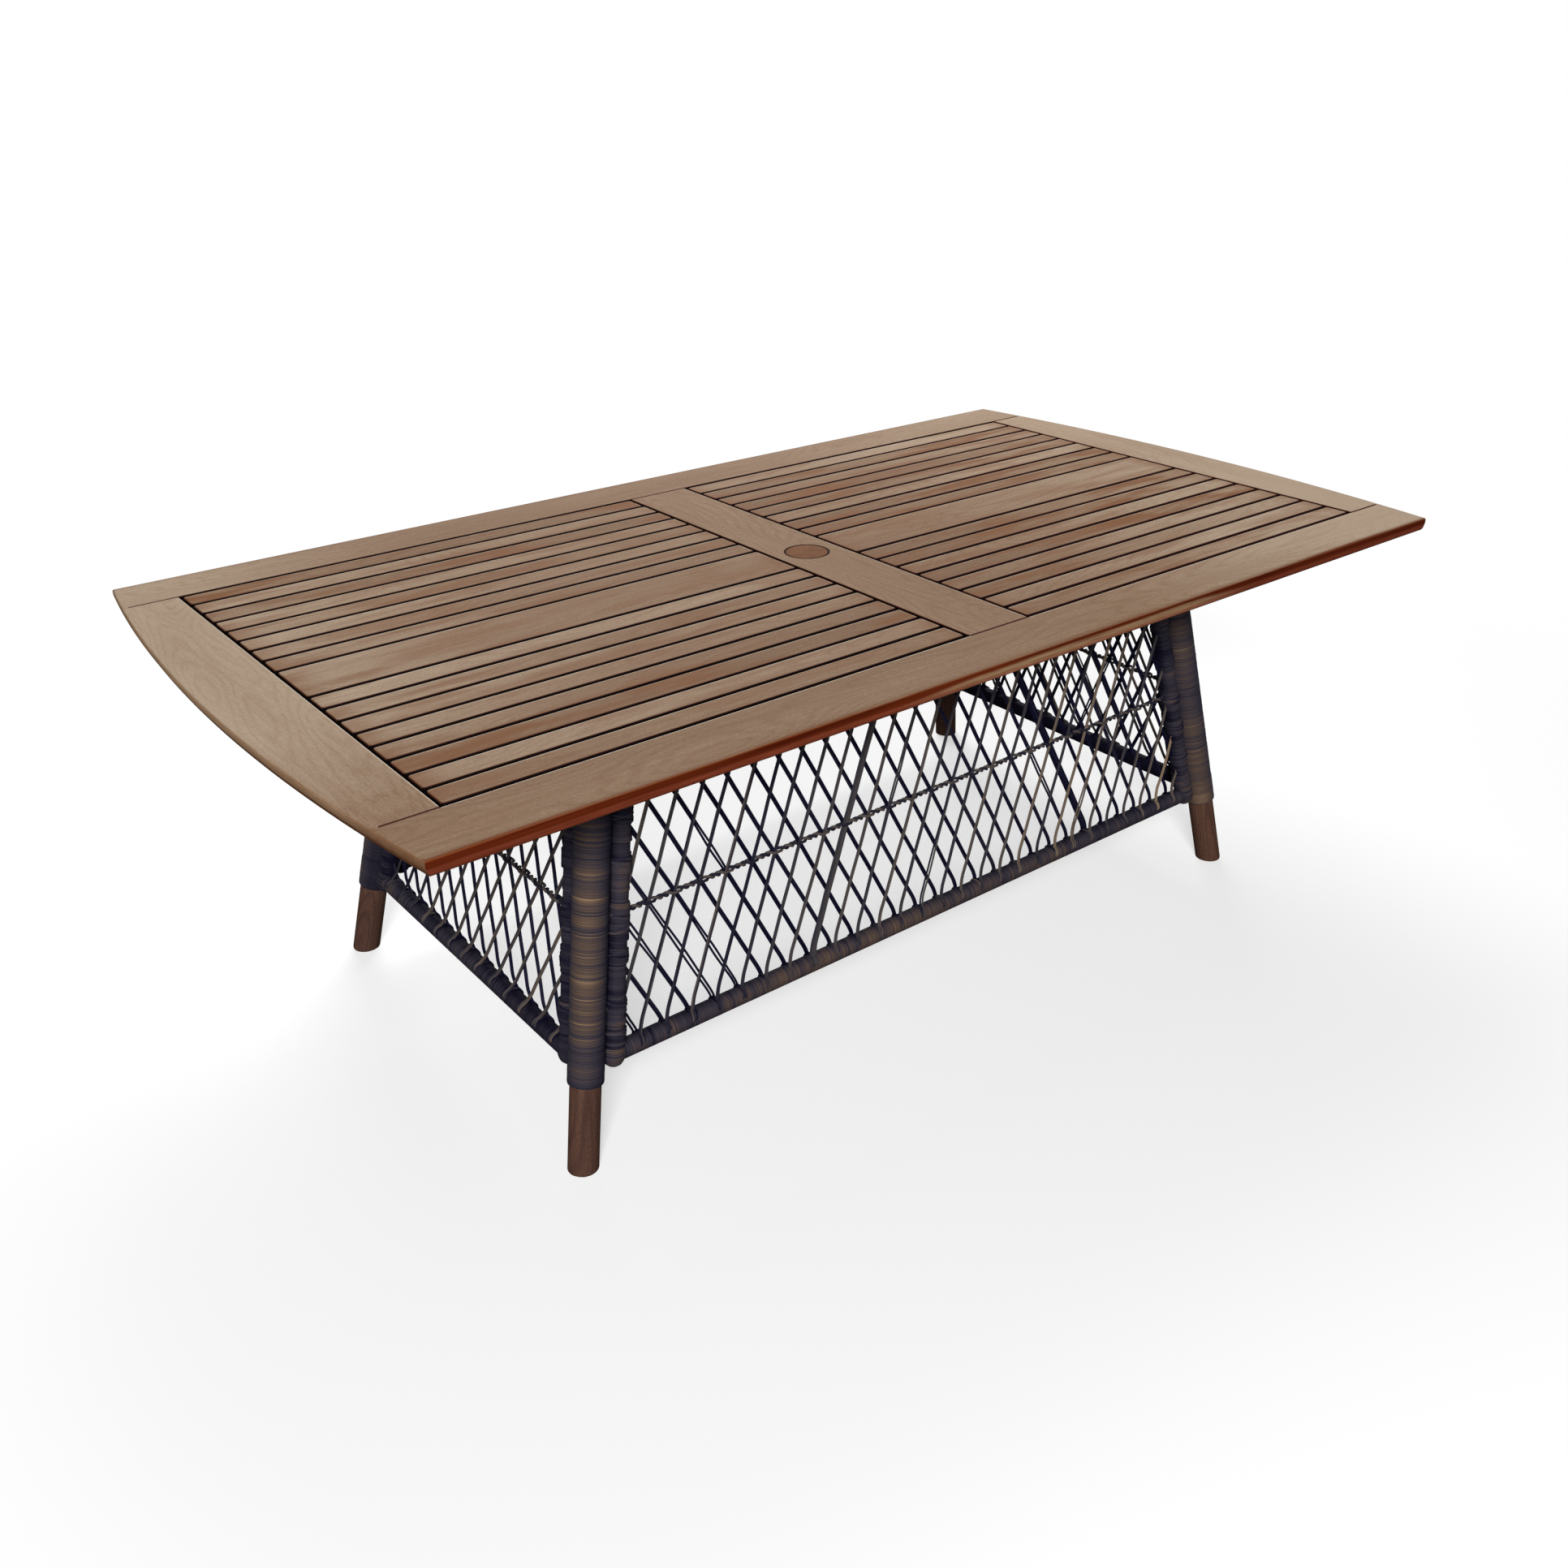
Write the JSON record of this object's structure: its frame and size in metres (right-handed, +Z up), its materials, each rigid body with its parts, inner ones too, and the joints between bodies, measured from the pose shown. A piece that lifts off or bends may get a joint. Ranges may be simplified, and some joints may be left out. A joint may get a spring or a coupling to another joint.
{
  "type": "outdoor dining table",
  "caption": "Long outdoor dining table: slatted wooden top with bowed ends and an umbrella hole with a lift-out plug, on splayed wicker-wrapped legs with woven lattice panels between them.",
  "frame": {"origin": "on the floor, at the middle of the table's length and width", "axes": "+X along the table's length to its right end, +Y across its width to the back, +Z up"},
  "size_m": [2.2, 1.2, 0.74],
  "materials": {
    "top_wood": "weathered, matt",
    "plug_wood": "weathered, matt",
    "batten_wood": "planed, matt",
    "foot_wood": "dark stained, satin",
    "aluminium_tube": "mill",
    "resin_wicker": "woven flat resin, charcoal with brown streaks",
    "resin_brown": "twisted resin cord",
    "steel": "plain",
    "spacer_rubber": "matt"
  },
  "bodies": {
    "table": {"front_rail": "top_wood", "back_rail": "top_wood", "left_end_rail": "top_wood", "right_end_rail": "top_wood", "centre_rail": "top_wood", "left_slats": "top_wood", "right_slats": "top_wood", "left_wide_board": "top_wood", "right_wide_board": "top_wood", "left_leg_batten": "batten_wood", "right_leg_batten": "batten_wood", "left_end_cleat": "batten_wood", "right_end_cleat": "batten_wood", "left_centre_cleat": "batten_wood", "right_centre_cleat": "batten_wood", "slat_screws": "steel", "front_left_leg_tube": "aluminium_tube", "front_right_leg_tube": "aluminium_tube", "back_left_leg_tube": "aluminium_tube", "back_right_leg_tube": "aluminium_tube", "front_left_leg_wrap": "resin_wicker", "front_right_leg_wrap": "resin_wicker", "back_left_leg_wrap": "resin_wicker", "back_right_leg_wrap": "resin_wicker", "front_left_foot": "foot_wood", "front_right_foot": "foot_wood", "back_left_foot": "foot_wood", "back_right_foot": "foot_wood", "leg_plates": "steel", "leg_plate_screws": "steel", "front_panel_sides": "aluminium_tube", "front_panel_bottom": "aluminium_tube", "front_panel_top": "aluminium_tube", "front_panel_wrap": "resin_wicker", "front_lattice": "resin_wicker", "front_mid_line": "resin_brown", "back_panel_sides": "aluminium_tube", "back_panel_bottom": "aluminium_tube", "back_panel_top": "aluminium_tube", "back_panel_wrap": "resin_wicker", "back_lattice": "resin_wicker", "back_mid_line": "resin_brown", "left_panel_sides": "aluminium_tube", "left_panel_bottom": "aluminium_tube", "left_panel_top": "aluminium_tube", "left_panel_wrap": "resin_wicker", "left_lattice": "resin_wicker", "left_mid_line": "resin_brown", "right_panel_sides": "aluminium_tube", "right_panel_bottom": "aluminium_tube", "right_panel_top": "aluminium_tube", "right_panel_wrap": "resin_wicker", "right_lattice": "resin_wicker", "right_mid_line": "resin_brown", "panel_studs": "steel", "panel_spacers": "spacer_rubber"},
    "plug": {"umbrella_plug": "plug_wood"}
  },
  "joints": [
    {"name": "plug_lift", "type": "slide", "parent": "table", "child": "plug", "axis": [0, 0, 1], "range_m": [0, 0.12]}
  ]
}
